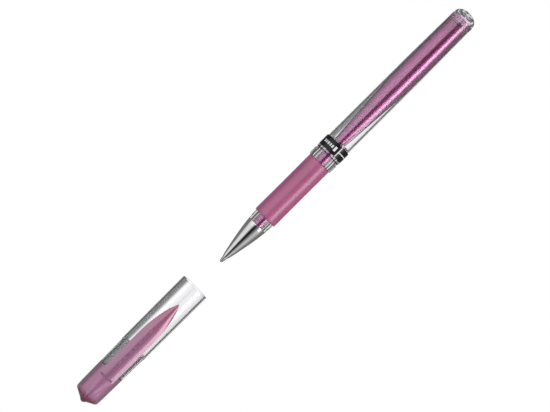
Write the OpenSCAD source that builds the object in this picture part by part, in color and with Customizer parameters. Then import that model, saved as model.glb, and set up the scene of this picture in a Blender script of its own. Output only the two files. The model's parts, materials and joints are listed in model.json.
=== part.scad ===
// Capped gel pen, lying on its side with the cap pulled off in line with it.
// X runs from the cap's crown to the pen's tail, Z is up and the clip is on top.
// The origin is under the middle of the whole set, on the surface that it lies on.

/* [Overall] */
// Length of the pen without its cap, from the ball to the tail
pen_len = 140.5; // [128:0.5:172]
// Length of the front that goes into the cap, from the ball to the collar
front_len = 56; // [46:0.5:68]
// Distance from the cap's mouth to the ball as the pieces lie
lay_gap = 14.3; // [4:0.1:30]

/* [Barrel] */
// Outside diameter of the barrel's straight stretch
barrel_d = 10.8; // [9:0.1:13.2]
// Wall thickness of the barrel's straight stretch
barrel_wall = 0.75; // [0.62:0.01:0.9]
// Length of the stretch that narrows towards the tail
tail_taper_len = 27; // [20:0.5:34]
// Length of the printed ring round the barrel's front end
band_len = 5; // [4:0.1:6]

/* [Front] */
// Length of the metal nose cone
nose_len = 17.8; // [15:0.1:19]
// Length of the metal point that shows in front of the nose cone
point_len = 3; // [2.5:0.05:3.6]
// Length of the clear neck between nose cone and grip
neck_len = 4.2; // [3.6:0.1:5.2]
// Thickness of the rubber grip
grip_wall = 1.05; // [0.85:0.01:1.3]
// Length of the screw thread between front and barrel
thread_len = 6; // [5:0.1:7.2]

/* [Refill] */
// Diameter of the writing ball
ball_d = 1; // [0.8:0.05:1.2]
// Wall thickness of the refill tube
refill_wall = 0.45; // [0.36:0.01:0.55]
// Length over which the refill tube widens behind the thread
shoulder_len = 30; // [24:0.5:36]
// Length of the grease plug that follows the ink
follower_len = 4.7; // [3.8:0.1:5.7]

/* [Cap] */
// Wall thickness of the cap at its mouth
cap_wall = 0.85; // [0.7:0.01:1.05]
// Room in the cap in front of the ball
ball_room = 8; // [7:0.1:9.6]
// Length of the coloured crown
crown_len = 17; // [14:0.1:20.4]

/* [Clip] */
// Width of the clip
clip_w = 7.3; // [6:0.1:8.6]
// Thickness of the clip
clip_t = 1.4; // [1.15:0.05:1.7]
// Height of the gap between clip and cap
clip_gap = 0.9; // [0.7:0.05:1.1]
// Distance from the clip's end to the cap's mouth
clip_setback = 8.8; // [8:0.1:12]

/* [Hidden] */

// Clearances, all measured on the radius
slide_fit = 0.05;
ball_fit = 0.02;
cap_fit = 0.25;
seal_fit = 0.05;
stop_gap = 0.05;

// Smoothness of the turned pieces
turn_fn = 96;
small_fn = 48;
curve_steps = 10;

// Stations along the pen, measured back from the ball's front
ball_s = ball_d / 2;
lip_s = 0.28 * ball_d;
shank_end_s = point_len + 6.5;
holder_s = point_len + 4.5;
holder_swell_s = holder_s + 4.5;
holder_full_s = holder_s + 7.5;
chamber_s = holder_s + 5.5;
nose_end_s = point_len + nose_len;
nose_spigot_s = nose_end_s - 3.8;
seal_end_s = nose_end_s + neck_len * 0.38;
neck_end_s = nose_end_s + neck_len;
collar_len = 5.6;
barrel_s = front_len + collar_len;
band_end_s = barrel_s + band_len;
thread_end_s = barrel_s + thread_len;
holder_joint_len = 4;
holder_end_s = barrel_s + 2.4;
refill_s = holder_end_s - holder_joint_len;
shoulder_s = thread_end_s + 0.4;
shoulder_end_s = shoulder_s + shoulder_len;
tail_len = 4;
barrel_end_s = pen_len - tail_len;
plug_depth = 1.6;
refill_end_s = barrel_end_s - plug_depth - 0.3;
refill_plug_t = 0.8;
follower_end_s = refill_end_s - refill_plug_t - 0.5;
follower_s = follower_end_s - follower_len;

// Radii of the pen
barrel_r = barrel_d / 2;
tail_r = barrel_r - 0.35;
bore_r = barrel_r - barrel_wall;
band_r = barrel_r + 0.45;
band_seat_r = barrel_r - 0.25;
collar_r = barrel_r + 0.4;
grip_r = barrel_r - 0.15;
core_r = grip_r - grip_wall;
seal_r = grip_r - 0.75;
neck_r = grip_r - 0.55;
nose_r = seal_r - 0.1;
nose_spigot_r = nose_r - 0.9;
refill_r = bore_r - slide_fit;
ink_r = refill_r - refill_wall;
holder_r = barrel_r / 2;
holder_joint_r = holder_r - 0.5;
holder_front_r = 1.6;
holder_ink_r = 1.95;
shank_r = 1.15;
point_r = 0.6;
tip_ink_r = 0.4;
feed_r = 0.6;
check_ball_r = 0.8;
check_ball_float = 0.6;
chamber_r = check_ball_r + 0.3;
chamber_len = 2 * check_ball_r + check_ball_float + 0.2;
vent_r = 0.5;

// Stations along the cap, measured from the crown's end, and its radii
cap_len = ball_room + front_len;
inner_rim_len = 1;
inner_end_u = ball_room + seal_end_s - inner_rim_len - 0.2;
end_wall_u = 6;
seal_pad_t = ball_room - end_wall_u - 0.7;
cap_bore_r = grip_r + cap_fit;
cap_r = cap_bore_r + cap_wall;
inner_bore_r = seal_r + seal_fit;
inner_r = inner_bore_r + 0.4;
tube_spigot_r = inner_r + 0.35;
crown_r = cap_r - 0.5;
crown_rim_u = 2.6;
pocket_r = 1.2;
pocket_offset = 2.9;
pocket_end_u = 4.6;
spine_w = clip_w * 0.3;

// Clip
clip_top = cap_r + clip_gap + clip_t;
clip_mid = clip_top - clip_t / 2;
clip_pivot_u = crown_len - 2.2;
clip_end_u = cap_len - clip_setback;
clip_narrow_u = clip_end_u - 2.5 * clip_w;
knuckle_fit = 0.05;
nib_u = clip_end_u - 5;
nib_r = 1.6;

// Places along X
total_len = cap_len + lay_gap + pen_len;
crown_x = -total_len / 2;
ball_x = crown_x + cap_len + lay_gap;

// Puts a piece that is drawn upright from z = 0 along X, with its own y upwards
module lying(x) {
    translate([x, 0, cap_r]) rotate([90, 0, 90]) children();
}

// Turns an outline of [radius, station] points round the pen's axis
module turned(outline, fn = turn_fn) {
    rotate_extrude($fn = fn) polygon(outline);
}

// A plain cylinder or ring between two stations
module ring(outer, inner, from, to, fn = turn_fn) {
    turned([[inner, from], [outer, from], [outer, to], [inner, to]], fn);
}

// Radius of the nose cone's bullet shape, part t of the way from point to neck
function nose_swell(t) = 1.3 + (nose_r - 1.3) * (1 - pow(1 - t, 1.3));

// Clear tube with a recessed seat for the printed ring, open at the tail
module barrel() {
    taper_s = barrel_end_s - tail_taper_len;
    color("#c98fb4", 0.5) lying(ball_x) turned([
        [bore_r, barrel_s],
        [band_seat_r, barrel_s],
        [band_seat_r, band_end_s],
        [barrel_r, band_end_s],
        [barrel_r, taper_s],
        [tail_r, barrel_end_s],
        [bore_r, barrel_end_s],
    ]);
}

// Clear domed stopper with an air hole, pressed into the barrel's tail
module tail_plug() {
    dome_len = 2.9;
    dome_s = pen_len - dome_len;
    dome_r = tail_r - 0.15;
    dome = [for (i = [0 : curve_steps]) let (a = 75 * i / curve_steps)
        [dome_r * cos(a), dome_s + dome_len * sin(a) / sin(75)]];
    color("#b9bcc2", 0.6) lying(ball_x) turned(concat(
        [[vent_r, barrel_end_s - plug_depth],
         [bore_r, barrel_end_s - plug_depth],
         [bore_r, barrel_end_s],
         [tail_r, barrel_end_s],
         [tail_r, barrel_end_s + 0.4],
         [tail_r - 0.25, barrel_end_s + 0.5],
         [tail_r - 0.25, dome_s - 0.35],
         [dome_r, dome_s - 0.2]],
        dome,
        [[vent_r, pen_len]]));
}

// Black printed ring in its seat round the barrel's front end
module label_band() {
    edge = 0.25;
    edge_r = band_r - 0.15;
    color("#17161b") lying(ball_x) turned([
        [band_seat_r, barrel_s],
        [edge_r, barrel_s],
        [band_r, barrel_s + edge],
        [band_r, band_end_s - edge],
        [edge_r, band_end_s],
        [band_seat_r, band_end_s],
    ]);
}

// Clear front: nose spigot, neck, grip core, collar and the screw into the barrel
module front_section() {
    bore = holder_r + slide_fit;
    groove_s = barrel_s - 1.1;
    color("#cfcfd6", 0.5) lying(ball_x) turned([
        [bore, nose_spigot_s],
        [nose_spigot_r, nose_spigot_s],
        [nose_spigot_r, nose_end_s],
        [seal_r, nose_end_s],
        [seal_r, seal_end_s],
        [neck_r, seal_end_s],
        [neck_r, neck_end_s],
        [core_r, neck_end_s],
        [core_r, front_len],
        [collar_r - 0.2, front_len],
        [collar_r - 0.08, front_len + 0.5],
        [collar_r, front_len + 1.3],
        [collar_r, groove_s - 0.3],
        [collar_r - 0.25, groove_s],
        [collar_r - 0.25, groove_s + 0.5],
        [collar_r, groove_s + 0.8],
        [collar_r, barrel_s],
        [refill_r, barrel_s],
        [refill_r, thread_end_s],
        [bore, thread_end_s],
    ]);
}

// Rubber sleeve over the front's core
module rubber_grip() {
    lip = 0.15;
    color("#b05a86") lying(ball_x) turned([
        [core_r, neck_end_s],
        [grip_r - lip, neck_end_s],
        [grip_r, neck_end_s + lip],
        [grip_r, front_len - lip],
        [grip_r - lip, front_len],
        [core_r, front_len],
    ]);
}

// Plated bullet-shaped cone, pushed over the front's nose spigot
module nose_cone() {
    outside = [for (i = [0 : curve_steps])
        [nose_swell(i / curve_steps), point_len + nose_len * i / curve_steps]];
    tip_bore = shank_r + slide_fit;
    holder_bore = holder_front_r + 2 * slide_fit;
    color("#c4c6ca") lying(ball_x) turned(concat(
        outside,
        [[nose_spigot_r, nose_end_s],
         [nose_spigot_r, nose_spigot_s],
         [holder_r + slide_fit, nose_spigot_s],
         [holder_r + slide_fit, holder_full_s - 0.4],
         [holder_bore, holder_swell_s - 0.4],
         [holder_bore, holder_s - 0.2],
         [tip_bore, holder_s - 0.2],
         [tip_bore, point_len]]));
}

// Clear refill: a narrow neck, a shoulder and the wide ink store, open behind
module refill_tube() {
    color("#e2cfdc", 0.5) lying(ball_x) turned([
        [holder_joint_r, refill_s],
        [holder_r, refill_s],
        [holder_r, shoulder_s],
        [refill_r, shoulder_end_s],
        [refill_r, refill_end_s],
        [ink_r, refill_end_s],
        [ink_r, shoulder_end_s],
        [holder_joint_r, shoulder_s],
    ]);
}

// Vented disc that shuts the refill's open end
module refill_plug() {
    color("#e6e2e6") lying(ball_x)
        ring(ink_r, vent_r, refill_end_s - refill_plug_t, refill_end_s);
}

// Clear feed tube between the point and the refill, with the check ball's chamber
module tip_holder() {
    chamber_end_s = chamber_s + chamber_len;
    color("#dcdde2", 0.6) lying(ball_x) turned([
        [shank_r, holder_s],
        [holder_front_r, holder_s],
        [holder_front_r, holder_swell_s],
        [holder_r, holder_full_s],
        [holder_r, refill_s],
        [holder_joint_r, refill_s],
        [holder_joint_r, holder_end_s],
        [holder_ink_r, holder_end_s],
        [holder_ink_r, chamber_end_s + 1],
        [feed_r, chamber_end_s + 1],
        [feed_r, chamber_end_s],
        [chamber_r, chamber_end_s],
        [chamber_r, chamber_s],
        [feed_r, chamber_s],
        [feed_r, shank_end_s],
        [shank_r, shank_end_s],
    ]);
}

// Machined metal point with the ball's socket
module writing_tip() {
    color("#a9a7a4") lying(ball_x) difference() {
        turned([
            [0, lip_s],
            [point_r, lip_s],
            [shank_r - 0.05, point_len + 0.1],
            [shank_r, point_len + 0.4],
            [shank_r, shank_end_s],
            [0, shank_end_s],
        ], small_fn);
        translate([0, 0, ball_s]) sphere(r = ball_d / 2 + ball_fit, $fn = small_fn);
        translate([0, 0, ball_s]) cylinder(r = tip_ink_r, h = shank_end_s, $fn = small_fn);
    }
}

// Ball that rolls in the point
module writing_ball() {
    color("#8d8f94") lying(ball_x)
        translate([0, 0, ball_s]) sphere(d = ball_d, $fn = small_fn);
}

// Steel ball that stops ink running back when the pen stands tip up
module check_ball() {
    color("#9a9ca1") lying(ball_x)
        translate([0, 0, chamber_s + check_ball_r + 0.1])
            sphere(r = check_ball_r, $fn = small_fn);
}

// Ink in the point and in the feed tube, on either side of the check ball
module ink_feed() {
    chamber_end_s = chamber_s + chamber_len;
    color("#8c2b62") lying(ball_x) {
        turned([
            [0, ball_s + ball_d / 2 + 2 * ball_fit],
            [tip_ink_r, ball_s + ball_d / 2 + 2 * ball_fit],
            [tip_ink_r, shank_end_s],
            [feed_r, shank_end_s],
            [feed_r, chamber_s],
            [0, chamber_s],
        ], small_fn);
        turned([
            [0, chamber_end_s],
            [feed_r, chamber_end_s],
            [feed_r, chamber_end_s + 1],
            [holder_ink_r, chamber_end_s + 1],
            [holder_ink_r, holder_end_s],
            [0, holder_end_s],
        ], small_fn);
    }
}

// Metallic gel ink in the refill
module ink_column() {
    color("#a3336f") lying(ball_x) turned([
        [0, holder_end_s],
        [holder_joint_r, holder_end_s],
        [holder_joint_r, shoulder_s],
        [ink_r, shoulder_end_s],
        [ink_r, follower_s],
        [0, follower_s],
    ]);
}

// Grease plug that closes the ink and creeps forward behind it
module ink_follower() {
    float_r = ink_r * 0.4;
    float_s = follower_s + follower_len * 0.2;
    color("#c08aa8") lying(ball_x) turned([
        [0, follower_s],
        [ink_r - slide_fit, follower_s],
        [ink_r - slide_fit, follower_end_s],
        [float_r, follower_end_s],
        [float_r, float_s],
        [0, float_s],
    ]);
}

// Resin float sunk in the grease, which keeps it square in the wide tube
module follower_float() {
    color("#d9c3d2") lying(ball_x)
        ring(ink_r * 0.4, 0, follower_s + follower_len * 0.2, follower_end_s + 0.2);
}

// Clear cap body: spigot for the crown, sleeve round the inner cap, wide mouth
module cap_tube() {
    step_u = inner_end_u;
    color("#dfe2e6", 0.4) lying(crown_x) turned([
        [inner_r, end_wall_u],
        [tube_spigot_r, end_wall_u],
        [tube_spigot_r, crown_len],
        [crown_r - 0.04, crown_len],
        [crown_r + 0.15, step_u - 0.6],
        [cap_r - 0.15, step_u],
        [cap_r, cap_len - 4],
        [cap_r, cap_len - 0.2],
        [cap_r - 0.2, cap_len],
        [cap_bore_r, cap_len],
        [cap_bore_r, step_u],
        [inner_r, step_u],
    ]);
}

// Translucent liner that closes round the neck and keeps the ball from drying
module inner_cap() {
    color("#d8d3da", 0.7) lying(crown_x) turned([
        [0, end_wall_u],
        [inner_r, end_wall_u],
        [inner_r, inner_end_u],
        [cap_bore_r, inner_end_u],
        [cap_bore_r, inner_end_u + inner_rim_len],
        [inner_bore_r, inner_end_u + inner_rim_len],
        [inner_bore_r, end_wall_u + 0.6],
        [0, end_wall_u + 0.6],
    ]);
}

// Soft pad that the ball faces when the cap is on
module tip_seal() {
    color("#5c5a60") lying(crown_x)
        ring(seal_r * 0.55, 0, end_wall_u + 0.6, end_wall_u + 0.6 + seal_pad_t);
}

// Coloured crown: sleeve, blunt cone with two air pockets, and the spine up to the clip
module cap_crown() {
    rim_r = crown_r - 0.7;
    color("#a8618c") lying(crown_x) difference() {
        union() {
            turned([
                [0, 0],
                [0.7, 0.1],
                [rim_r, crown_rim_u],
                [crown_r - 0.3, crown_rim_u + 0.6],
                [crown_r - 0.15, end_wall_u],
                [crown_r, crown_len],
                [0, crown_len],
            ]);
            crown_spine();
        }
        for (side = [-1, 1]) translate([side * pocket_offset, 0, -1])
            cylinder(r = pocket_r, h = 1 + pocket_end_u, $fn = small_fn);
        translate([0, 0, end_wall_u]) cylinder(r = tube_spigot_r, h = crown_len, $fn = turn_fn);
        translate([0, clip_mid, clip_pivot_u]) rotate([0, 90, 0])
            cylinder(r = clip_t / 2 + knuckle_fit, h = 2 * clip_w, center = true, $fn = small_fn);
    }
}

// Spine over the end of the crown, rising to the height of the clip
module crown_spine() {
    low = -crown_r + 0.9;
    arch_r = 7;
    arch = [for (i = [0 : curve_steps]) let (a = 90 * i / curve_steps)
        [arch_r * (1 - cos(a)), clip_top - arch_r * (1 - sin(a))]];
    intersection() {
        rotate([0, -90, 0]) linear_extrude(2 * clip_w, center = true) polygon(concat(
            [[0, low + 2.4]],
            arch,
            [[clip_pivot_u, clip_top], [clip_pivot_u, 0], [crown_rim_u, 0],
             [crown_rim_u, low], [1, low + 0.8]]));
        translate([0, clip_top, 0]) rotate([90, 0, 0]) linear_extrude(3 * clip_top) polygon([
            [-spine_w / 2, 0], [spine_w / 2, 0],
            [clip_w / 2, clip_pivot_u], [-clip_w / 2, clip_pivot_u],
        ]);
    }
}

// Sprung tongue, parallel and then narrowing to a leaf's end, with a nib that bears on the cap
module clip() {
    half_w = clip_w / 2;
    right_side = [for (i = [0 : 2 * curve_steps]) let (a = 45 * i / curve_steps)
        [half_w * pow(cos(a), 1.6),
         clip_narrow_u + (clip_end_u - clip_narrow_u) * sin(a)]];
    left_side = [for (i = [2 * curve_steps - 1 : -1 : 0]) [-right_side[i][0], right_side[i][1]]];
    low = cap_r + stop_gap;
    color("#b0648f") lying(crown_x) intersection() {
        rotate([0, -90, 0]) linear_extrude(clip_w, center = true) union() {
            translate([clip_pivot_u, clip_mid]) circle(d = clip_t, $fn = small_fn);
            translate([clip_pivot_u, clip_mid - clip_t / 2])
                square([clip_end_u - clip_pivot_u, clip_t]);
            intersection() {
                translate([nib_u, low + nib_r]) circle(r = nib_r, $fn = small_fn);
                translate([nib_u - nib_r, low]) square([2 * nib_r, clip_gap + 0.1]);
            }
        }
        translate([0, clip_top, 0]) rotate([90, 0, 0]) linear_extrude(clip_t + clip_gap)
            polygon(concat([[-half_w, 0], [half_w, 0]], right_side, left_side));
    }
}

barrel();
tail_plug();
label_band();
front_section();
rubber_grip();
nose_cone();
refill_tube();
refill_plug();
tip_holder();
writing_tip();
writing_ball();
check_ball();
ink_feed();
ink_column();
ink_follower();
follower_float();
cap_tube();
inner_cap();
tip_seal();
cap_crown();
clip();
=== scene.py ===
import json
import math

import bmesh
import bpy
from mathutils import Matrix, Vector

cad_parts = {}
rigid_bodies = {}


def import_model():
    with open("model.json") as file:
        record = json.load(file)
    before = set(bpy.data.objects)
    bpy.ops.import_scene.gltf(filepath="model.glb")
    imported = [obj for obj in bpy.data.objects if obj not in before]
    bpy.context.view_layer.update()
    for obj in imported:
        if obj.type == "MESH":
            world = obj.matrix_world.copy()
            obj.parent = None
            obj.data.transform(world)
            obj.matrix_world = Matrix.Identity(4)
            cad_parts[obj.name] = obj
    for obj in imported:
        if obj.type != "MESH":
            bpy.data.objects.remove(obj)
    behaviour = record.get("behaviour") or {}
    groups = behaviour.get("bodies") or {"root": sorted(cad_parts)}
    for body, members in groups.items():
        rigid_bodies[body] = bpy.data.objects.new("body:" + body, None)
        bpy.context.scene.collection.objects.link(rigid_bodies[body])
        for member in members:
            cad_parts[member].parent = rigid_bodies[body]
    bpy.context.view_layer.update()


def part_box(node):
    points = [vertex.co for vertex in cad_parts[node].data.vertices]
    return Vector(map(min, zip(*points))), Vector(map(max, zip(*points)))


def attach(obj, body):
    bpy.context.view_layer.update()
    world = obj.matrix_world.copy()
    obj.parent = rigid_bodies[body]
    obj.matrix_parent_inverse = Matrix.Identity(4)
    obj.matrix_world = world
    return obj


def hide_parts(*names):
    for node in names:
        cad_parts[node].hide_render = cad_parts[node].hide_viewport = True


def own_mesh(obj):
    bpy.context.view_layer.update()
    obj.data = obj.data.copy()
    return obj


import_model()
for start_object in [o for o in bpy.data.objects if o.name in ("Cube", "Light", "Camera")]:
    bpy.data.objects.remove(start_object)

# ---- Writing ball -------------------------------------------------------------------------
# A ground and polished hard-metal ball, 1 mm across, held loose in the point's socket.
# It is lapped rather than cast, so it shows only the finest haze.
MM = 0.001
ball_low, ball_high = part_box("writing_ball")
TIP_X = ball_low.x / MM
AXIS_Z = (ball_low.z + ball_high.z) / 2 / MM


def seat(bm, name, start=TIP_X):
    """Puts a piece drawn in mm, with x from start and z from the pen's axis, in its place."""
    bmesh.ops.translate(bm, verts=bm.verts, vec=(start, 0, AXIS_Z))
    bmesh.ops.scale(bm, verts=bm.verts, vec=(MM, MM, MM))
    mesh = bpy.data.meshes.new(name)
    bm.to_mesh(mesh)
    bm.free()
    piece = bpy.data.objects.new(name, mesh)
    bpy.context.scene.collection.objects.link(piece)
    return piece


def smooth(piece, crease=38):
    """Shades a piece smooth, apart from edges sharper than crease degrees."""
    piece.data.shade_smooth()
    piece.data.set_sharp_from_angle(angle=math.radians(crease))
    return piece


def fit(piece, body, nodes, slot, *materials):
    """Gives a piece its materials and its body, and hides the CAD nodes it replaces; slot is not
    used.
    """
    for material in materials:
        piece.data.materials.append(material)
    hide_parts(*nodes)
    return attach(piece, body)


class Finish:
    """One material: a Principled shader and the patterns that vary it over a piece."""

    def __init__(self, name, **sockets):
        self.material = bpy.data.materials.new(name)
        self.material.use_nodes = True
        self.tree = self.material.node_tree
        self.shader = self.tree.nodes["Principled BSDF"]
        for socket, value in sockets.items():
            self.shader.inputs[socket.replace("_", " ")].default_value = value
        self.place = self.tree.nodes.new("ShaderNodeTexCoord").outputs["Object"]

    def node(self, kind, settings=(), **inputs):
        made = self.tree.nodes.new("ShaderNode" + kind)
        for key, value in dict(settings).items():
            setattr(made, key, value)
        for key, value in inputs.items():
            socket = made.inputs[int(key[1:])] if key[0] == "i" and key[1:].isdigit() \
                else made.inputs[key.replace("_", " ")]
            if isinstance(value, bpy.types.NodeSocket):
                self.tree.links.new(value, socket)
            else:
                socket.default_value = value
        return made

    def stretched(self, x=1.0, y=1.0, z=1.0):
        """Object coordinates, stretched so that a pattern is drawn out along an axis."""
        return self.node("Mapping", Vector=self.place, Scale=(x, y, z)).outputs["Vector"]

    def noise(self, scale, detail=3.0, rough=0.55, vector=None, warp=0.0):
        return self.node("TexNoise", Vector=vector or self.place, Scale=scale, Detail=detail,
                         Roughness=rough, Distortion=warp).outputs["Fac"]

    def shift(self, value, low, high, out_low, out_high):
        """Maps a pattern's low to high onto the values that a socket needs."""
        return self.node("MapRange", i0=value, i1=low, i2=high, i3=out_low,
                         i4=out_high).outputs["Result"]

    def roughness(self, pattern, low, high):
        self.tree.links.new(self.shift(pattern, 0.3, 0.7, low, high),
                            self.shader.inputs["Roughness"])

    def colour(self, pattern, *stops):
        """Colours by pattern; each stop is (position, red, green, blue)."""
        ramp = self.node("ValToRGB", Fac=pattern)
        band = ramp.color_ramp
        while len(band.elements) < len(stops):
            band.elements.new(0.5)
        for element, (at, *rgb) in zip(band.elements, stops):
            element.position = at
            element.color = (*rgb, 1.0)
        self.tree.links.new(ramp.outputs["Color"], self.shader.inputs["Base Color"])
        return ramp.outputs["Color"]

    def bump(self, *layers):
        """Surface relief; each layer is (pattern, height in mm, strength)."""
        normal = None
        for pattern, height, strength in layers:
            relief = self.node("Bump", Height=pattern, Distance=height * MM, Strength=strength)
            if normal is not None:
                self.tree.links.new(normal, relief.inputs["Normal"])
            normal = relief.outputs["Normal"]
        self.tree.links.new(normal, self.shader.inputs["Normal"])


hard_metal = Finish("ball_hard_metal", Metallic=1.0, IOR=2.5)
lapping = hard_metal.noise(9000, 2)
hard_metal.colour(lapping, (0.2, 0.30, 0.30, 0.32), (0.8, 0.44, 0.44, 0.46))
hard_metal.roughness(hard_metal.noise(4000, 3), 0.08, 0.22)
hard_metal.bump((lapping, 0.002, 0.3))

BALL_R = 0.5
bm = bmesh.new()
bmesh.ops.create_icosphere(bm, subdivisions=4, radius=BALL_R)
bmesh.ops.translate(bm, verts=bm.verts, vec=(BALL_R, 0, 0))
fit(smooth(seat(bm, "ball")), "writing_ball", ["writing_ball"], "ball_metal",
    hard_metal.material)


# ---- Point --------------------------------------------------------------------------------
# Nickel silver rod, turned to a stepped cone and drilled through. The lip is rolled in over
# the ball after the ball is dropped in.
def turned(name, outline, rounding=0.0, steps=96, start=TIP_X, corner=20):
    """Turns an outline of (x, radius) points in mm round the pen's axis and eases its corners.

    An outline that starts and ends on the axis stays open there; any other is a closed loop.
    """
    bm = bmesh.new()
    points = [Vector((x, 0, r)) for x, r in outline]
    closed = outline[0][1] > 0 or outline[-1][1] > 0
    line = [bm.verts.new(p) for p in points]
    pairs = list(zip(line, line[1:])) + ([(line[-1], line[0])] if closed else [])
    for a, b in pairs:
        bm.edges.new((a, b))
    if rounding:
        sharp = [v for v in line if v.co.z > 0 and len(v.link_edges) == 2
                 and (v.link_edges[0].other_vert(v).co - v.co).angle(
                     v.co - v.link_edges[1].other_vert(v).co) > math.radians(corner)]
        bmesh.ops.bevel(bm, geom=sharp, offset=rounding, offset_type="OFFSET",
                        affect="VERTICES", segments=3, profile=0.5, material=-1,
                        clamp_overlap=True)
        # Support rings beside the eased corners keep long straight walls truly straight
        for edge in [e for e in bm.edges if e.calc_length() > 8 * rounding]:
            for v in [v for v in edge.verts if v.co.z > 0]:
                part = next(e for e in v.link_edges if e.calc_length() > 6 * rounding)
                bmesh.utils.edge_split(part, v, rounding / part.calc_length())
    bmesh.ops.spin(bm, geom=bm.verts[:] + bm.edges[:], cent=(0, 0, 0), axis=(1, 0, 0),
                   dvec=(0, 0, 0), angle=math.tau, steps=steps, use_merge=True,
                   use_duplicate=False)
    bmesh.ops.remove_doubles(bm, verts=bm.verts, dist=1e-5)
    bmesh.ops.recalc_face_normals(bm, faces=bm.faces)
    return smooth(seat(bm, name, start))


def arc(x, r, radius, start, end, count=8):
    """Points on an arc round (x, r), from start to end degrees, 0 along the pen, 90 outwards."""
    turn = [math.radians(start + (end - start) * i / count) for i in range(count + 1)]
    return [(x + radius * math.cos(a), r + radius * math.sin(a)) for a in turn]


nickel_silver = Finish("point_nickel_silver", Metallic=1.0, IOR=1.8)
tool_marks = nickel_silver.noise(1400, 2, vector=nickel_silver.stretched(12, 0.4, 0.4))
nickel_silver.colour(nickel_silver.noise(500), (0.3, 0.50, 0.47, 0.42), (0.7, 0.66, 0.63, 0.58))
nickel_silver.roughness(tool_marks, 0.16, 0.34)
nickel_silver.bump((tool_marks, 0.01, 0.5))

SOCKET_R, TIP_BORE, SHANK_R, SHANK_END = 0.52, 0.4, 1.15, 9.5
socket = arc(BALL_R, 0, SOCKET_R, math.degrees(math.acos(0.33 / SOCKET_R)), 115)
fit(turned("point", [
    (0.30, 0.49), (0.36, 0.57), (0.55, 0.64), (0.9, 0.70), (0.96, 0.76), (2.3, 1.0),
    (2.36, 0.96), (2.5, 0.96), (2.56, 1.06), (3.3, SHANK_R), (SHANK_END, SHANK_R),
    (SHANK_END, TIP_BORE)] + socket, 0.02, 64),
    "refill", ["writing_tip"], "nickel_silver", nickel_silver.material)


# ---- Feed tube and check ball -------------------------------------------------------------
# Clear moulded tube between point and refill. A steel ball floats in its chamber and shuts it
# when the pen stands point up. Ink fills the bore on both sides.
def clear(name, tint=None, haze=(0.0, 0.03), ior=1.5):
    """Clear moulded plastic: faint flow lines along the pen and a little handling haze.

    A piece whose tint changes along it gets its colour in its own section.
    """
    plastic = Finish(name, Transmission_Weight=1.0, IOR=ior, Specular_IOR_Level=0.5)
    lines = plastic.noise(160, 2, vector=plastic.stretched(0.12, 1, 1))
    haze_spots = plastic.noise(400, 3, 0.6, plastic.stretched(0.3, 1, 1), 0.6)
    if tint:
        plastic.colour(lines, (0.25, *tint), (0.75, *[min(1.0, c * 1.02) for c in tint]))
    plastic.roughness(haze_spots, *haze)
    plastic.bump((lines, 0.01, 0.15))
    return plastic


feed_plastic = clear("feed_clear_plastic", (0.94, 0.93, 0.95)).material
HOLDER_X, SWELL_X, HOLDER_FULL, CHAMBER_X, CHAMBER_END = 7.5, 12.0, 15.0, 13.0, 15.4
HOLDER_FRONT_R, HOLDER_R, JOINT_R, BACK_BORE, FEED_R, CHAMBER_R = 1.6, 2.7, 2.2, 1.95, 0.6, 1.1
JOINT_X, HOLDER_END = 60.0, 64.0
swell = [(SWELL_X + (HOLDER_FULL - SWELL_X) * t,
          HOLDER_FRONT_R + (HOLDER_R - HOLDER_FRONT_R) * (3 * t ** 2 - 2 * t ** 3))
         for t in [i / 8 for i in range(9)]]
fit(turned("feed_tube", [(HOLDER_X, SHANK_R), (HOLDER_X, HOLDER_FRONT_R)] + swell + [
    (JOINT_X, HOLDER_R), (JOINT_X, JOINT_R), (HOLDER_END, JOINT_R), (HOLDER_END, BACK_BORE),
    (CHAMBER_END + 1.6, BACK_BORE), (CHAMBER_END + 1, FEED_R), (CHAMBER_END, FEED_R),
    (CHAMBER_END, CHAMBER_R), (CHAMBER_X, CHAMBER_R), (CHAMBER_X, FEED_R),
    (SHANK_END, FEED_R), (SHANK_END, SHANK_R)], 0.06, 80),
    "refill", ["tip_holder"], "refill_plastic", feed_plastic)

bearing_steel = Finish("check_ball_steel", Metallic=1.0)
bearing_steel.colour(bearing_steel.noise(700), (0.3, 0.46, 0.46, 0.48), (0.7, 0.6, 0.6, 0.62))
bearing_steel.roughness(bearing_steel.noise(3000, 3), 0.06, 0.16)
bearing_steel.bump((bearing_steel.noise(5000), 0.002, 0.2))
CHECK_R = 0.8
bm = bmesh.new()
bmesh.ops.create_icosphere(bm, subdivisions=4, radius=CHECK_R)
bmesh.ops.translate(bm, verts=bm.verts, vec=(CHAMBER_X + 0.1 + CHECK_R, 0, 0))
fit(smooth(seat(bm, "check_ball_steel")), "check_ball", ["check_ball"], "ball_metal",
    bearing_steel.material)


# ---- Ink ----------------------------------------------------------------------------------
# Water-based gel full of pearl flakes, which line up in the tube and shine like metal. Slow
# swirls of more and less flake run along it. It wets the tube, so it reaches just into the wall.
def pearl_ink(name, deep, bright):
    ink = Finish(name, Metallic=0.85, Specular_IOR_Level=0.5, IOR=1.45,
                 Coat_Weight=0.6, Coat_Roughness=0.2)
    swirl = ink.noise(90, 4, 0.5, ink.stretched(0.25, 1, 1), 1.2)
    cells = ink.node("TexVoronoi", Vector=ink.place, Scale=9000.0)
    glint = ink.node("SeparateColor", Color=cells.outputs["Color"]).outputs["Red"]
    mixed = ink.node("Math", {"operation": "MULTIPLY_ADD"}, i0=glint, i1=0.1,
                     i2=swirl).outputs["Value"]
    ink.colour(mixed, (0.35, *deep), (0.75, *bright))
    ink.roughness(swirl, 0.27, 0.36)
    ink.bump((glint, 0.004, 0.12), (swirl, 0.03, 0.15))
    return ink.material


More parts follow.
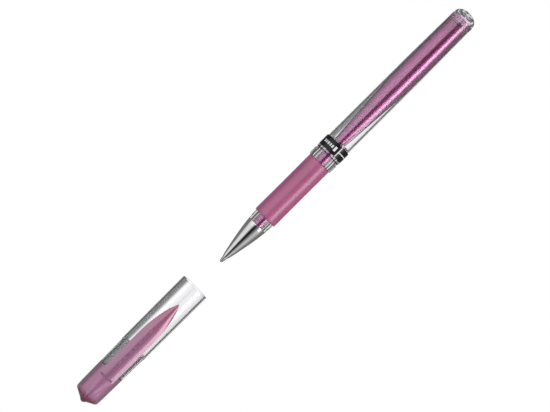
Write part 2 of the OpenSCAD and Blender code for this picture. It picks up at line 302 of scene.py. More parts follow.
ink_metal = pearl_ink("pearl_pink_ink", (0.37, 0.055, 0.235), (0.50, 0.10, 0.33))
WET, INK_START = 0.02, 1.05
SHOULDER_X, STORE_X, FOLLOWER_X = 68.0, 98.0, 128.6
STORE_INK_X = STORE_X + 0.3
STORE_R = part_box("ink_column")[1].z / MM - AXIS_Z
fit(turned("ink_in_point", [
    (INK_START, 0), (INK_START, TIP_BORE + WET), (SHANK_END, TIP_BORE + WET),
    (SHANK_END, FEED_R + WET), (CHAMBER_X, FEED_R + WET), (CHAMBER_X, 0)], 0, 48),
    "refill", ["ink_feed"], "metallic_ink", ink_metal)
fit(turned("ink_in_feed_tube", [
    (CHAMBER_END, 0), (CHAMBER_END, FEED_R + WET), (CHAMBER_END + 1, FEED_R + WET),
    (CHAMBER_END + 1.6, BACK_BORE + WET), (HOLDER_END, BACK_BORE + WET), (HOLDER_END, 0)], 0, 64),
    "refill", ["ink_feed"], "metallic_ink", ink_metal)
fit(turned("ink_in_shoulder", [
    (HOLDER_END, 0), (HOLDER_END, JOINT_R + WET), (SHOULDER_X, JOINT_R + WET),
    (STORE_X, STORE_R + WET), (STORE_X + 0.35, STORE_R + WET), (STORE_X + 0.35, 0)], 0, 128),
    "refill", ["ink_column"], "metallic_ink", ink_metal)
# The store's ink is a piece of its own, as it alone is pressed together as the follower creeps
ink_store = fit(turned("ink_in_store", [
    (STORE_INK_X, 0), (STORE_INK_X, STORE_R + WET), (FOLLOWER_X, STORE_R + WET),
    (FOLLOWER_X, 0)], 0, 128),
    "refill", ["ink_column"], "metallic_ink", ink_metal)
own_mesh(ink_store)

# ---- Follower, float and refill plug ------------------------------------------------------
# A clear grease plug, tinted by the ink, closes the column and creeps after it. A hollow resin
# float in it keeps it square. A vented disc closes the refill.
grease = Finish("tinted_grease", Metallic=0.6, IOR=1.47)
grease_swirl = grease.noise(300, 3, warp=0.8)
grease.colour(grease_swirl, (0.3, 0.36, 0.08, 0.23), (0.7, 0.48, 0.13, 0.32))
grease.roughness(grease_swirl, 0.26, 0.36)
grease.bump((grease_swirl, 0.02, 0.2))
FOLLOWER_END, FLOAT_R = 133.3, 1.58
float_x = FOLLOWER_X + 0.94
fit(turned("grease_follower", [
    (FOLLOWER_X, 0), (FOLLOWER_X, STORE_R + WET), (FOLLOWER_END, STORE_R + WET),
    (FOLLOWER_END - 0.45, STORE_R - 0.7), (FOLLOWER_END - 0.5, FLOAT_R), (float_x, FLOAT_R),
    (float_x, 0)], 0.08, 96),
    "follower", ["ink_follower"], "grease", grease.material)

moulded = Finish("moulded_white_resin", IOR=1.5, Subsurface_Weight=0.15,
                 Subsurface_Radius=(0.002, 0.001, 0.0015))
moulded_grain = moulded.noise(1200, 3)
moulded.colour(moulded.noise(200), (0.3, 0.72, 0.68, 0.72), (0.7, 0.82, 0.79, 0.82))
moulded.roughness(moulded_grain, 0.35, 0.5)
moulded.bump((moulded_grain, 0.01, 0.3))
fit(turned("float", [(float_x, 0), (float_x, FLOAT_R - 0.25), (float_x + 0.3, FLOAT_R),
                     (FOLLOWER_END + 0.2, FLOAT_R), (FOLLOWER_END + 0.2, FLOAT_R - 0.5),
                     (FOLLOWER_END - 0.6, FLOAT_R - 0.6), (FOLLOWER_END - 0.6, 0)], 0.08, 64),
    "follower", ["follower_float"], "white_plastic", moulded.material)
REFILL_END, VENT_R = 134.6, 0.5
# Ink has crept round the disc and stained it
stained = Finish("ink_stained_resin", IOR=1.5)
stain = stained.noise(250, 3, warp=0.6)
stained.colour(stain, (0.3, 0.36, 0.09, 0.24), (0.7, 0.5, 0.17, 0.36))
stained.roughness(stain, 0.3, 0.45)
stained.bump((stained.noise(1200, 3), 0.01, 0.3))
fit(turned("refill_end_disc", [
    (REFILL_END - 0.8, VENT_R), (REFILL_END - 0.8, STORE_R), (REFILL_END, STORE_R),
    (REFILL_END, STORE_R - 0.6), (REFILL_END - 0.25, STORE_R - 0.8),
    (REFILL_END - 0.25, VENT_R + 0.5), (REFILL_END, VENT_R + 0.3), (REFILL_END, VENT_R)],
    0.05, 96),
    "refill", ["refill_plug"], "white_plastic", stained.material)

# ---- Refill tube --------------------------------------------------------------------------
# Clear blow-formed tube: a narrow neck pushed over the feed tube, a long shoulder, and the
# wide ink store.
REFILL_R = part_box("refill_tube")[1].z / MM - AXIS_Z
refill_plastic = clear("refill_clear_plastic", (0.96, 0.95, 0.965), (0.01, 0.04)).material
fit(turned("refill_tube", [
    (JOINT_X, JOINT_R), (JOINT_X, HOLDER_R), (SHOULDER_X - 1, HOLDER_R),
    (SHOULDER_X + 0.6, HOLDER_R + 0.02), (STORE_X - 0.6, REFILL_R - 0.02), (STORE_X + 1, REFILL_R),
    (REFILL_END, REFILL_R), (REFILL_END, STORE_R), (STORE_X, STORE_R), (SHOULDER_X, JOINT_R)],
    0.06, 128),
    "refill", ["refill_tube"], "refill_plastic", refill_plastic)

# ---- Front section ------------------------------------------------------------------------
# One thick clear moulding: the spigot for the nose cone, the neck that shows the ink, the core
# under the grip, the knurl-soft collar and the screw that goes into the barrel.
front_plastic = clear("front_clear_plastic", (0.92, 0.91, 0.93), ior=1.53).material
NOSE_SPIGOT_X, NOSE_END, SEAL_END, NECK_END = 17.0, 20.8, 22.4, 25.0
COLLAR_X, BARREL_X, THREAD_END = 56.0, 61.6, 67.6
FRONT_BORE, SPIGOT_R, SEAL_R, NECK_R, CORE_R, COLLAR_R = 2.75, 3.5, 4.5, 4.7, 4.2, 5.8
THREAD_R = REFILL_R - 0.3
front = turned("front_section", [
    (NOSE_SPIGOT_X, FRONT_BORE), (NOSE_SPIGOT_X, SPIGOT_R), (NOSE_END, SPIGOT_R),
    (NOSE_END, SEAL_R), (SEAL_END, SEAL_R), (SEAL_END + 0.25, NECK_R), (NECK_END, NECK_R),
    (NECK_END, CORE_R), (COLLAR_X, CORE_R), (COLLAR_X, COLLAR_R - 0.2),
    (COLLAR_X + 0.5, COLLAR_R - 0.08), (COLLAR_X + 1.3, COLLAR_R),
    (BARREL_X - 2.1, COLLAR_R), (BARREL_X - 1.8, COLLAR_R - 0.3),
    (BARREL_X - 1.2, COLLAR_R - 0.3), (BARREL_X - 0.9, COLLAR_R), (BARREL_X, COLLAR_R),
    (BARREL_X, THREAD_R), (THREAD_END, THREAD_R), (THREAD_END, FRONT_BORE)], 0.1, 96)
fit(front, "front", ["front_section"], "clear_plastic", front_plastic)

# The screw thread, one ridge that winds three and a half times round the reduced end
bm = bmesh.new()
PITCH, TURNS, CREST_R, ROOT_R, TURN_STEPS = 1.5, 3.5, REFILL_R, THREAD_R - 0.03, 48
ridge = [bm.verts.new((BARREL_X + 0.5 + x, 0, r)) for x, r in
         [(0, ROOT_R), (0.22, CREST_R), (0.42, CREST_R), (0.64, ROOT_R)]]
ridge_edges = [bm.edges.new(pair) for pair in zip(ridge, ridge[1:] + ridge[:1])]
bm.faces.new(ridge)
bmesh.ops.spin(bm, geom=ridge + ridge_edges + bm.faces[:], cent=(0, 0, 0), axis=(1, 0, 0),
               dvec=(PITCH / TURN_STEPS, 0, 0), angle=math.tau * TURNS,
               steps=int(TURN_STEPS * TURNS),
               use_merge=False, use_duplicate=False)
bmesh.ops.remove_doubles(bm, verts=bm.verts, dist=1e-5)
bmesh.ops.recalc_face_normals(bm, faces=bm.faces)
fit(smooth(seat(bm, "screw_thread"), 30), "front", ["front_section"], "clear_plastic",
    front_plastic)

# ---- Nose cone ----------------------------------------------------------------------------
# Drawn brass cone with bright chrome plate, pushed over the front's spigot. Fine turning rings
# show under the plate.
chrome = Finish("nose_chrome_plate", Metallic=1.0)
rings = chrome.noise(700, 2, vector=chrome.stretched(8, 0.05, 0.05))
chrome.colour(rings, (0.3, 0.70, 0.70, 0.71), (0.7, 0.86, 0.86, 0.87))
chrome.roughness(chrome.noise(600, 3), 0.03, 0.08)
chrome.bump((rings, 0.006, 0.35))
POINT_LEN, NOSE_R, NOSE_FRONT_R, NOSE_CURVE, SLIDE = 3.0, 4.4, 1.3, 1.3, 0.05
NOSE_LEN, NOSE_BORE = NOSE_END - POINT_LEN, HOLDER_FRONT_R + 0.1
bullet = [(POINT_LEN + NOSE_LEN * t,
           NOSE_FRONT_R + (NOSE_R - NOSE_FRONT_R) * (1 - (1 - t) ** NOSE_CURVE))
          for t in [i / 24 for i in range(25)]]
bullet[-1:] = [(NOSE_END - 0.5, NOSE_R - 0.01), (NOSE_END - 0.1, NOSE_R), (NOSE_END, NOSE_R - 0.1)]
fit(turned("nose_cone", [(POINT_LEN, SHANK_R + SLIDE), (POINT_LEN, NOSE_FRONT_R - 0.08)] +
           bullet[1:] + [
    (NOSE_END, SPIGOT_R), (NOSE_SPIGOT_X, SPIGOT_R), (NOSE_SPIGOT_X, HOLDER_R + SLIDE),
    (HOLDER_FULL - 0.4, HOLDER_R + SLIDE), (SWELL_X - 0.4, NOSE_BORE),
    (HOLDER_X - 0.2, NOSE_BORE), (HOLDER_X - 0.2, SHANK_R + SLIDE)], 0.04, 128),
    "front", ["nose_cone"], "plated_metal", chrome.material)

# ---- Rubber grip --------------------------------------------------------------------------
# Soft moulded sleeve, stretched over the core. It has a satin skin with a fine grain, a little
# finger shine and a rolled edge at each end.
rubber = Finish("grip_rubber", IOR=1.55, Specular_IOR_Level=0.7, Sheen_Weight=0.1,
                Sheen_Roughness=0.5)
skin = rubber.noise(2600, 3, 0.6)
wear = rubber.noise(70, 3, 0.5)
rubber.colour(wear, (0.3, 0.39, 0.085, 0.205), (0.7, 0.46, 0.105, 0.25))
rubber.roughness(wear, 0.24, 0.34)
rubber.bump((skin, 0.012, 0.2), (rubber.noise(420, 2), 0.01, 0.12))
GRIP_R = 5.25
fit(turned("grip", [
    (NECK_END, CORE_R), (NECK_END, GRIP_R - 0.1), (NECK_END + 0.9, GRIP_R),
    (NECK_END + 15, GRIP_R - 0.06), (COLLAR_X - 0.9, GRIP_R), (COLLAR_X, GRIP_R - 0.1),
    (COLLAR_X, CORE_R)], 0.22, 128),
    "front", ["rubber_grip"], "pink_rubber", rubber.material)

# ---- Barrel -------------------------------------------------------------------------------
# Long clear moulded tube, parallel and then narrowing slightly to the tail. The ring sits in
# a step at its front end.
BARREL_R, BORE_R, TAIL_R, SEAT_R, BAND_R = 5.4, REFILL_R + SLIDE, 5.05, 5.15, 5.85
BAND_END, TAPER_X, BARREL_END = 66.6, 109.5, 136.5
TINT_FROM, TINT_TO = 80, 112
barrel_plastic = clear("barrel_clear_plastic")
# The ink store behind the shoulder lends the wall its colour, so the tint deepens rearwards
along = barrel_plastic.node("SeparateXYZ", Vector=barrel_plastic.place).outputs["X"]
rearwards = barrel_plastic.shift(along, (TIP_X + TINT_FROM) * MM, (TIP_X + TINT_TO) * MM, 0.0, 1.0)
barrel_plastic.colour(rearwards, (0.0, 0.96, 0.96, 0.97), (1.0, 0.95, 0.86, 0.93))
fit(turned("barrel_tube", [
    (BARREL_X, BORE_R), (BARREL_X, SEAT_R), (BAND_END, SEAT_R), (BAND_END, BARREL_R),
    (TAPER_X, BARREL_R), (BARREL_END, TAIL_R), (BARREL_END, BORE_R)], 0.06, 128),
    "barrel", ["barrel"], "clear_plastic", barrel_plastic.material)

# ---- Printed ring -------------------------------------------------------------------------
# Black gloss ring with plain white rules and small plain marks, printed before it is snapped
# into its seat.
black = Finish("ring_black_gloss", IOR=1.33)
black.colour(black.noise(150), (0.3, 0.006, 0.006, 0.008), (0.7, 0.012, 0.011, 0.014))
black.roughness(black.noise(1500, 3), 0.1, 0.22)
black.bump((black.noise(900), 0.006, 0.25))
white_print = Finish("ring_white_print", IOR=1.5)
white_print.colour(white_print.noise(2500, 2), (0.3, 0.72, 0.72, 0.74), (0.7, 0.9, 0.9, 0.92))
white_print.roughness(white_print.noise(1500, 3), 0.3, 0.45)
white_print.bump((white_print.noise(3000), 0.003, 0.3))
RULE_FROM, RULE_TO, MARK_FROM, MARK_TO, BLOCK_FROM, BLOCK_TO = 63.9, 64.3, 63.5, 64.7, 63.0, 65.1
# Angles round the ring in degrees, 0 on top and 90 on the clip's right; marks are (start, width)
AXIAL_RULE, ROUND_RULE, BLOCK = (17, 21), (20, 150), (-4, 6)
MARKS = ((-62, 8), (-50, 6), (-40, 8), (-28, 6), (-18, 8))
band = turned("printed_ring", [
    (BARREL_X, SEAT_R), (BARREL_X, BAND_R - 0.15), (BARREL_X + 0.25, BAND_R)] +
    [(x, BAND_R) for x in (BLOCK_FROM, MARK_FROM, RULE_FROM, RULE_TO, MARK_TO, BLOCK_TO)] +
    [(BAND_END - 0.25, BAND_R), (BAND_END, BAND_R - 0.15), (BAND_END, SEAT_R)], 0.05, 180)
fit(band, "barrel", ["label_band"], "black_plastic", black.material, white_print.material)
for face in band.data.polygons:
    x, y, z = [c / MM for c in face.center]
    x -= TIP_X
    across = math.degrees(math.atan2(-y, z - AXIS_Z))
    outer = math.hypot(y, z - AXIS_Z) > BAND_R - 0.1
    axial_rule = AXIAL_RULE[0] < across < AXIAL_RULE[1]
    round_rule = RULE_FROM < x < RULE_TO and ROUND_RULE[0] < across < ROUND_RULE[1]
    mark = MARK_FROM < x < MARK_TO and any(a < across < a + width for a, width in MARKS)
    block = BLOCK_FROM < x < BLOCK_TO and BLOCK[0] < across < BLOCK[1]
    if outer and (axial_rule or round_rule or mark or block):
        face.material_index = 1

# ---- Tail plug ----------------------------------------------------------------------------
# Clear domed stopper with an air hole, pressed into the barrel, with a hollow underside. Its
# colour is painted light: a painted highlight on bright rims and painted shade on a greyer dome.
PEN_LEN, DOME_R, DOME_LEN, DOME_SWEEP = 140.5, 4.9, 2.9, 75
STEM_LEN, STEM_BORE, GROOVE_R = 1.6, 3.7, TAIL_R - 0.25
DOME_X = PEN_LEN - DOME_LEN
plug_plastic = clear("tail_clear_plastic", ior=1.45)
# Pink from the ink in front, then bright rims as a painted highlight, then the greyer dome as
# painted shade
plug_along = plug_plastic.node("SeparateXYZ", Vector=plug_plastic.place).outputs["X"]
plug_rim_highlight_and_dome_shade = plug_plastic.shift(plug_along, (TIP_X + BARREL_END) * MM,
                                (TIP_X + PEN_LEN - 0.5) * MM, 0.0, 1.0)
plug_plastic.colour(plug_rim_highlight_and_dome_shade, (0.0, 0.85, 0.55, 0.74), (0.1, 0.97, 0.95, 0.97),
                    (0.25, 0.95, 0.92, 0.96), (0.4, 0.70, 0.66, 0.72))
dome = [(DOME_X + DOME_LEN * math.sin(math.radians(a)) / math.sin(math.radians(DOME_SWEEP)),
         DOME_R * math.cos(math.radians(a))) for a in range(0, DOME_SWEEP + 1, 5)]
fit(turned("tail_stopper", [
    (BARREL_END - STEM_LEN, STEM_BORE), (BARREL_END - STEM_LEN, BORE_R), (BARREL_END, BORE_R),
    (BARREL_END, TAIL_R), (BARREL_END + 0.4, TAIL_R), (BARREL_END + 0.5, GROOVE_R),
    (DOME_X - 0.35, GROOVE_R), (DOME_X - 0.2, DOME_R)] + dome + [
    (PEN_LEN, VENT_R), (PEN_LEN - 1, VENT_R), (PEN_LEN - 1.4, 1.4), (PEN_LEN - 2.1, 2.9),
    (DOME_X - 0.2, STEM_BORE)], 0.05, 128),
    "barrel", ["tail_plug"], "clear_plastic", plug_plastic.material)

# ---- Cap tube -----------------------------------------------------------------------------
# Clear moulded cap body: a spigot for the crown, the thick sleeve round the liner, a step, and
# the thin wide part that goes over the grip.
CROWN_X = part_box("cap_crown")[0].x / MM
CAP_LEN, CAP_R, CAP_BORE, LINER_R, CAP_SPIGOT_R = 64.0, 6.35, 5.5, 4.95, 5.3
WALL_U, STEP_U, CROWN_LEN, CROWN_R = 6.0, 29.2, 17.0, 5.85
cap_plastic = clear("cap_clear_plastic", (0.93, 0.93, 0.94)).material
fit(turned("cap_tube_clear", [
    (WALL_U, LINER_R), (WALL_U, CAP_SPIGOT_R), (CROWN_LEN, CAP_SPIGOT_R),
    (CROWN_LEN, CROWN_R - 0.04), (STEP_U - 1.6, CROWN_R + 0.12), (STEP_U, CAP_R - 0.17),
    (STEP_U + 2, CAP_R - 0.12), (CAP_LEN - 4, CAP_R), (CAP_LEN, CAP_R), (CAP_LEN, CAP_BORE),
    (STEP_U, CAP_BORE), (STEP_U, LINER_R)], 0.09, 144, CROWN_X),
    "cap", ["cap_tube"], "cap_clear_plastic", cap_plastic)

# ---- Inner cap and seal -------------------------------------------------------------------
# Thin milky liner, pressed into the cap, which grips the neck and keeps the ball wet. A soft
# grey pad lies in its end.
liner_plastic = Finish("liner_milky_plastic", Transmission_Weight=0.9, IOR=1.49)
liner_flow = liner_plastic.noise(300, 3, vector=liner_plastic.stretched(0.15, 1, 1))
liner_plastic.colour(liner_flow, (0.3, 0.86, 0.85, 0.88), (0.7, 0.93, 0.92, 0.94))
liner_plastic.roughness(liner_flow, 0.01, 0.03)
liner_plastic.bump((liner_flow, 0.004, 0.1))
LINER_BORE, LINER_END = 4.55, 30.2
fit(turned("inner_cap_liner", [
    (WALL_U, 0), (WALL_U, LINER_R + 0.02), (STEP_U - 0.02, LINER_R + 0.02),
    (STEP_U - 0.02, CAP_BORE + 0.02), (LINER_END, CAP_BORE + 0.02), (LINER_END, LINER_BORE),
    (WALL_U + 0.6, LINER_BORE), (WALL_U + 0.6, 0)], 0.05, 96, CROWN_X),
    "cap", ["inner_cap"], "liner_plastic", liner_plastic.material)

pad = Finish("seal_grey_rubber", IOR=1.45)
pad_cells = pad.noise(1800, 3)
pad.colour(pad_cells, (0.3, 0.16, 0.155, 0.165), (0.7, 0.24, 0.235, 0.245))
pad.roughness(pad_cells, 0.6, 0.75)
pad.bump((pad_cells, 0.04, 0.5))
PAD_U, PAD_END, PAD_R, PAD_DISH = WALL_U + 0.62, 7.9, 2.47, 0.3
fit(turned("seal_pad", [(PAD_U, 0), (PAD_U, PAD_R), (PAD_END, PAD_R), (PAD_END, 2.0),
                        (PAD_END - PAD_DISH, 1.6), (PAD_END - PAD_DISH, 0)],
           0.12, 64, CROWN_X),
    "cap", ["tip_seal"], "seal_rubber", pad.material)


# ---- Cap crown ----------------------------------------------------------------------------
# Tinted, slightly pearly moulding pressed over the cap's end: a sleeve, a closed blunt cone, and
# a spine that rises over the end to carry the clip.
def tinted(name):
    """Tinted gloss plastic of crown and clip; each gets its colour in its own section."""
    plastic = Finish(name, IOR=1.5, Specular_IOR_Level=0.6, Coat_Weight=1.0,
                     Coat_Roughness=0.1, Metallic=0.2)
    plastic.roughness(plastic.noise(900, 3), 0.16, 0.3)
    plastic.bump((plastic.noise(260), 0.01, 0.15), (plastic.noise(1200), 0.001, 0.15))
    return plastic


crown_plastic = tinted("crown_mauve_plastic")
# Painted shade: the blunt end is painted a deeper, redder pink where its facets and pockets lie in
# shade, and the sleeve's sides are painted greyer as shade on its flanks
END_SHADE_LEN, SIDE_SHADE_FROM, SIDE_SHADE_TO = 5.0, 3.9, 5.6
crown_place = crown_plastic.node("SeparateXYZ", Vector=crown_plastic.place).outputs
sideways = crown_plastic.node("Math", {"operation": "ABSOLUTE"}, i0=crown_place["Y"]).outputs[0]
end_shade = crown_plastic.shift(crown_place["X"], CROWN_X * MM, (CROWN_X + END_SHADE_LEN) * MM, 0.0, 0.6)
outwards = crown_plastic.shift(sideways, SIDE_SHADE_FROM * MM, SIDE_SHADE_TO * MM, 0.0, 0.4)
# The end and side masks add up to paint shade into the crown's colour
crown_plastic.colour(
    crown_plastic.node("Math", {"operation": "ADD"}, i0=end_shade, i1=outwards).outputs[0],
    (0.1, 0.20, 0.02, 0.07), (0.45, 0.28, 0.05, 0.13), (0.6, 0.42, 0.17, 0.32),
    (1.0, 0.24, 0.17, 0.21))
RIM_U, RIM_R = 2.6, 5.15
fit(turned("crown_sleeve", [
    (0, 0), (0.1, 0.7), (RIM_U, RIM_R), (RIM_U + 0.6, CROWN_R - 0.3), (WALL_U, CROWN_R - 0.15),
    (CROWN_LEN, CROWN_R), (CROWN_LEN, CAP_SPIGOT_R), (WALL_U, CAP_SPIGOT_R), (WALL_U, 0)],
    0.1, 128, CROWN_X),
    "cap", ["cap_crown"], "pink_plastic", crown_plastic.material)

CLIP_W, CLIP_TOP, CLIP_T, PIVOT_U, SPINE_W, ARCH_R = 7.3, 8.65, 1.4, 14.8, 2.19, 7.0
MARK_H, SEAM = 0.12, PIVOT_U - 0.72
SPINE_TOP = CLIP_TOP - MARK_H


def crowned(bm, path, half_at, flank, bottom):
    """A ridge along a path of (station, height, outward angle): its sides fall away by flank."""
    bmesh.ops.create_grid(bm, x_segments=len(path) - 1, y_segments=18, size=0.5)
    for v in bm.verts:
        u, h, out = path[round((v.co.x + 0.5) * (len(path) - 1))]
        side_on = math.copysign(abs(2 * v.co.y) ** 0.8, v.co.y)
        half = half_at(u)
        fall = max(0.0, abs(side_on) - 0.15) / 0.85
        drop = flank * (0.35 * fall + 0.65 * fall ** 2) * min(1.0, half / 2.4)
        v.co = (u + drop * math.cos(out), half * side_on, h - drop * math.sin(out))
    under = bmesh.ops.extrude_face_region(bm, geom=bm.faces[:])["geom"]
    for v in [g for g in under if isinstance(g, bmesh.types.BMVert)]:
        v.co = bottom(v.co)
    bmesh.ops.remove_doubles(bm, verts=bm.verts, dist=1e-4)
    bmesh.ops.recalc_face_normals(bm, faces=bm.faces)


# The spine rises past the axis, goes round a quarter arch and runs straight on to the clip
SPINE_FLANK, SPINE_FOOT_H, SPINE_UNDER_U, SPINE_UNDER_H = 0.95, -1.0, 3.4, 5.2
foot = [(0, SPINE_FOOT_H + 2.5 * i / 8, 0.0) for i in range(8)]
arch = [(ARCH_R * (1 - math.cos(a)), SPINE_TOP - ARCH_R * (1 - math.sin(a)), a)
        for a in [math.radians(90 * i / 20) for i in range(21)]]
straight = [(ARCH_R + (SEAM - ARCH_R) * i / 12, SPINE_TOP, math.pi / 2) for i in range(1, 13)]
bm = bmesh.new()
crowned(bm, foot + arch + straight, lambda u: SPINE_W / 2 + (CLIP_W - SPINE_W) / 2 * u / PIVOT_U,
        SPINE_FLANK, lambda co: (max(co.x, SPINE_UNDER_U), co.y, min(co.z, SPINE_UNDER_H)))
fit(smooth(seat(bm, "crown_spine", CROWN_X), 50), "cap", ["cap_crown"], "pink_plastic",
    crown_plastic.material)

# ---- Clip ---------------------------------------------------------------------------------
# Tinted springy tongue with a crowned top, a round end and a nib underneath that bears on the
# cap. Plain raised dashes take the place of lettering.
clip_plastic = tinted("clip_pink_plastic")
# The colour is mauve at the root and runs to a redder pink at the thin tip
MAUVE_TO, PINK_FROM = 30, 54
clip_along = clip_plastic.node("SeparateXYZ", Vector=clip_plastic.place).outputs["X"]
clip_swirl = clip_plastic.noise(200, 3, vector=clip_plastic.stretched(0.4, 1, 1))
tipwards = clip_plastic.node(
    "Math", {"operation": "MULTIPLY_ADD"}, i0=clip_swirl, i1=0.25,
    i2=clip_plastic.shift(clip_along, (CROWN_X + MAUVE_TO) * MM, (CROWN_X + PINK_FROM) * MM, 0,
                          0.75))
clip_plastic.colour(tipwards.outputs["Value"], (0.1, 0.36, 0.15, 0.27), (0.45, 0.38, 0.14, 0.25),
                    (0.9, 0.38, 0.09, 0.18))
CLIP_END, NARROW_U, BLADE_FLANK = 55.2, 36.95, 1.0
BLADE_U, END_ROUND, END_SAG = SEAM + 0.05, 2.4, 0.3


def leaf(u):
    """Half the blade's width at a station: parallel, then narrowing to a round end."""
    t = max(0.0, (u - NARROW_U) / (CLIP_END - NARROW_U))
    return CLIP_W / 2 * max(0.0, 1 - t * t) ** 0.8


blade = []
for i in range(61):
    ahead = (1 - i / 60) ** 1.8    # the share of the blade still ahead, finer towards its end
    sag = END_SAG * max(0.0, 1 - ahead * (CLIP_END - SEAM) / END_ROUND) ** 2
    blade.append((CLIP_END - ahead * (CLIP_END - BLADE_U), SPINE_TOP - sag, math.pi / 2))
bm = bmesh.new()
crowned(bm, blade, leaf, BLADE_FLANK, lambda co: (co.x, co.y, CLIP_TOP - CLIP_T))
fit(smooth(seat(bm, "clip_blade", CROWN_X), 50), "clip", ["clip"], "pink_plastic",
    clip_plastic.material)

# The nib under the blade, a half round bar across it
NIB_U, NIB_R, NIB_W = 50.2, 1.6, 3.4
bm = bmesh.new()
bmesh.ops.create_cone(bm, cap_ends=True, segments=48, radius1=NIB_R, radius2=NIB_R, depth=NIB_W,
                      matrix=Matrix.Translation((NIB_U, 0, CAP_R + 0.05 + NIB_R)) @
                      Matrix.Rotation(math.pi / 2, 4, "X"))
bmesh.ops.bisect_plane(bm, geom=bm.verts[:] + bm.edges[:] + bm.faces[:], clear_outer=True,
                       plane_co=(0, 0, CLIP_TOP - CLIP_T + 0.1), plane_no=(0, 0, 1))
bmesh.ops.holes_fill(bm, edges=[e for e in bm.edges if e.is_boundary])
bmesh.ops.recalc_face_normals(bm, faces=bm.faces)
fit(smooth(seat(bm, "clip_nib", CROWN_X), 30), "clip", ["clip"], "pink_plastic",
    clip_plastic.material)

# The hinge roll at the root, which fills the seat in the spine
ROLL_R, ROLL_W = 0.56, CLIP_W - 1.6
bm = bmesh.new()
bmesh.ops.create_cone(bm, cap_ends=True, segments=48, radius1=ROLL_R, radius2=ROLL_R,
                      depth=ROLL_W,
                      matrix=Matrix.Translation((PIVOT_U, 0, CLIP_TOP - CLIP_T / 2 - 0.01)) @
                      Matrix.Rotation(math.pi / 2, 4, "X"))
fit(smooth(seat(bm, "clip_root", CROWN_X), 30), "clip", ["clip"], "pink_plastic",
    clip_plastic.material)

# Plain raised bars, a generic pattern, down the middle of the blade: a long and a short in turn
BARS_U, BAR_PITCH, LONG_BAR, SHORT_BAR, BAR_W, BAR_Y = 21.0, 5.8, 2.2, 1.2, 0.55, 0.35
SHORT_AFTER = LONG_BAR + 1.2
bm = bmesh.new()
for pair in range(4):
    for after, bar_len in ((0.0, LONG_BAR), (SHORT_AFTER, SHORT_BAR)):
        bar = bmesh.ops.create_cube(bm, size=1.0)["verts"]
        middle = BARS_U + BAR_PITCH * pair + after + bar_len / 2
        bmesh.ops.scale(bm, verts=bar, vec=(bar_len, BAR_W, 2 * MARK_H))
        bmesh.ops.translate(bm, verts=bar, vec=(middle, BAR_Y, SPINE_TOP))
bmesh.ops.bevel(bm, geom=bm.edges[:], offset=0.08, offset_type="OFFSET", affect="EDGES",
                segments=2, profile=0.5, material=-1, clamp_overlap=True)
fit(smooth(seat(bm, "clip_bars", CROWN_X), 40), "clip", ["clip"], "pink_plastic",
    clip_plastic.material)

# ---- Studio -------------------------------------------------------------------------------
# Plain white table and a light tent made of long strips in line with the pen, seen from above.
cam_data = bpy.data.cameras.new("camera")
cam_data.lens = 100
cam_data.sensor_width = 36
cam_data.dof.use_dof = False
camera = bpy.data.objects.new("camera", cam_data)
TURN = math.radians(-44.9)
DISTANCE = 0.611
AIM_X, AIM_Y = 0.00014, 0.00037
LEAN = math.radians(4)    # the camera stands a little to the clip's left
camera.location = (AIM_X, AIM_Y + DISTANCE * math.sin(LEAN),
                   AXIS_Z * MM + DISTANCE * math.cos(LEAN))
camera.rotation_mode = "XYZ"
aimed = Matrix.Rotation(-LEAN, 3, "X") @ Matrix.Rotation(TURN, 3, "Z")
camera.rotation_euler = aimed.to_euler()
bpy.context.scene.collection.objects.link(camera)
bpy.context.scene.camera = camera

world = bpy.data.worlds.new("light_tent")
world.use_nodes = True
bpy.context.scene.world = world
tree = world.node_tree
background = tree.nodes["Background"]
direction = tree.nodes.new("ShaderNodeTexCoord").outputs["Generated"]
split = tree.nodes.new("ShaderNodeSeparateXYZ")
tree.links.new(direction, split.inputs[0])
flip = tree.nodes.new("ShaderNodeMath")
flip.operation = "MULTIPLY"
flip.inputs[1].default_value = -1
tree.links.new(split.outputs["Y"], flip.inputs[0])
angle = tree.nodes.new("ShaderNodeMath")
angle.operation = "ARCTAN2"
tree.links.new(flip.outputs[0], angle.inputs[0])
tree.links.new(split.outputs["Z"], angle.inputs[1])
share = tree.nodes.new("ShaderNodeMapRange")
share.inputs[1].default_value = -math.pi - LEAN
share.inputs[2].default_value = math.pi - LEAN
tree.links.new(angle.outputs[0], share.inputs[0])


def strips(levels, peak=5.0):
    """Brightness against the angle from straight up, towards the clip's right, in degrees."""
    ramp = tree.nodes.new("ShaderNodeValToRGB")
    tree.links.new(share.outputs["Result"], ramp.inputs["Fac"])
    band = ramp.color_ramp
    while len(band.elements) < len(levels):
        band.elements.new(0.5)
    for element, (degrees, level) in zip(band.elements, levels):
        element.position = (degrees + 180) / 360
        element.color = (level / peak, level / peak, level / peak, 1)
    scale = tree.nodes.new("ShaderNodeMath")
    scale.operation = "MULTIPLY"
    scale.inputs[1].default_value = peak
    tree.links.new(ramp.outputs["Color"], scale.inputs[0])
    return scale.outputs[0]


def choose(factor, otherwise, chosen):
    """Takes one brightness where factor is 0 and the other where it is 1."""
    mix = tree.nodes.new("ShaderNodeMix")
    mix.data_type = "FLOAT"
    for value, socket in zip((factor, otherwise, chosen), (0, 2, 3)):
        if isinstance(value, bpy.types.NodeSocket):
            tree.links.new(value, mix.inputs[socket])
        else:
            mix.inputs[socket].default_value = value
    return mix.outputs[0]


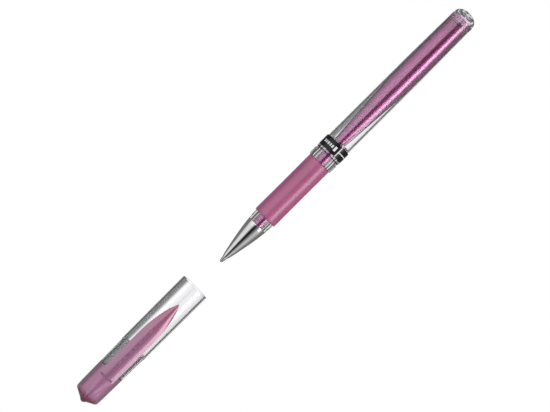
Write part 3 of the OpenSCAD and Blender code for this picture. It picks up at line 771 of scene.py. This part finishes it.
# The strips overhead: a broad soft one, a dark gap in the middle and a narrow bright one
over = [(-80, 0.9), (-50, 1.4), (-14, 1.4), (-5, 0.2), (22, 0.15), (40, 1.0), (46, 4.2),
        (64, 4.2), (70, 1.0), (90, 0.4)]
tent = strips([(-180, 0.15), (-118, 0.12), (-104, 0.25)] + over + [(112, 0.1), (180, 0.1)])
front_end = strips([
    (-180, 0.15), (-128, 0.2), (-106, 0.3), (-89, 0.52), (-74, 0.72), (-60, 0.9), (-33, 0.9),
    (-22, 0.4), (-12, 0.02), (0, 0.005), (9, 0.04), (23, 0.2), (35, 0.37), (47, 0.63), (60, 0.6),
    (74, 0.53), (89, 0.36), (106, 0.25), (180, 0.15)])
through = strips(
    [(-180, 1.0), (-175.5, 1.0), (-172.5, 0.2), (-150, 0.18), (-145, 0.1), (-128, 0.1),
     (-112, 0.6)] + over +
    [(112, 0.6), (128, 0.1), (150, 0.1), (155, 0.22), (160, 1.0), (180, 1.0)])
# Rays that run towards the point, as they do from the nose cone, meet the end of the tent
FORWARD_FROM, FORWARD_FULL = -0.12, -0.22
forward = tree.nodes.new("ShaderNodeMapRange")
forward.inputs[1].default_value = FORWARD_FROM
forward.inputs[2].default_value = FORWARD_FULL
tree.links.new(split.outputs["X"], forward.inputs[0])
ray = tree.nodes.new("ShaderNodeLightPath").outputs
lit = choose(forward.outputs["Result"], tent, front_end)
lit = choose(ray["Is Transmission Ray"], lit, through)
lit = choose(ray["Is Camera Ray"], lit, 1.0)
background.inputs["Color"].default_value = (1, 1, 1, 1)
tree.links.new(lit, background.inputs["Strength"])

bm = bmesh.new()
bmesh.ops.create_grid(bm, x_segments=1, y_segments=1, size=6.0)
table_mesh = bpy.data.meshes.new("table")
bm.to_mesh(table_mesh)
bm.free()
table = bpy.data.objects.new("table", table_mesh)
bpy.context.scene.collection.objects.link(table)
paper = bpy.data.materials.new("table_white")
paper.use_nodes = True
nodes, links = paper.node_tree.nodes, paper.node_tree.links
glow = nodes.new("ShaderNodeEmission")
glow.inputs["Strength"].default_value = 1.0
path = nodes.new("ShaderNodeLightPath")
mix = nodes.new("ShaderNodeMixShader")
links.new(path.outputs["Is Camera Ray"], mix.inputs[0])
dark = nodes.new("ShaderNodeEmission")
dark.inputs["Strength"].default_value = 0.2
links.new(dark.outputs[0], mix.inputs[1])
links.new(glow.outputs[0], mix.inputs[2])
links.new(mix.outputs[0], nodes["Material Output"].inputs["Surface"])
table_mesh.materials.append(paper)
table.visible_transmission = False

bpy.context.scene.view_settings.view_transform = "Standard"
